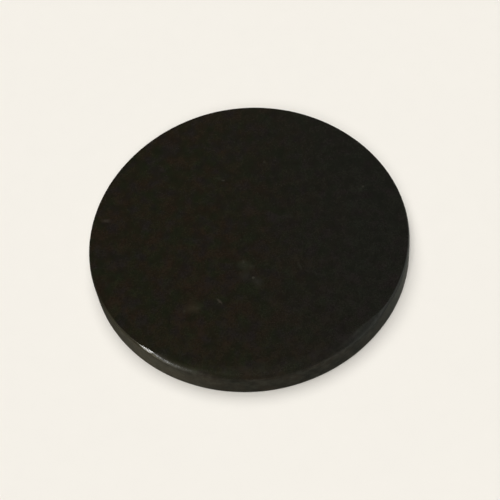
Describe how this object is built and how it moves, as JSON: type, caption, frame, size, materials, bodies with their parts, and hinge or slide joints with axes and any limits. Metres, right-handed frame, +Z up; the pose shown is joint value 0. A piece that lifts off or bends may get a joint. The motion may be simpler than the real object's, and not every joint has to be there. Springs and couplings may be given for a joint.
{
  "type": "polished shungite disc",
  "caption": "Flat round disc of polished black shungite stone with eased edges, lying on its face; a plate to set things on or a paperweight.",
  "frame": {"origin": "middle of the flat underside", "axes": "+Z up out of the polished upper face, along the disc's axis; -Y towards the front, where the upper edge is eased more softly; +X to the right"},
  "size_m": [0.0502, 0.0502, 0.005],
  "materials": {
    "polished_shungite": "polished, near black with a faint warm cast, satin on the ground edge"
  },
  "bodies": {
    "root": {"shungite_disc": "polished_shungite"}
  },
  "joints": []
}
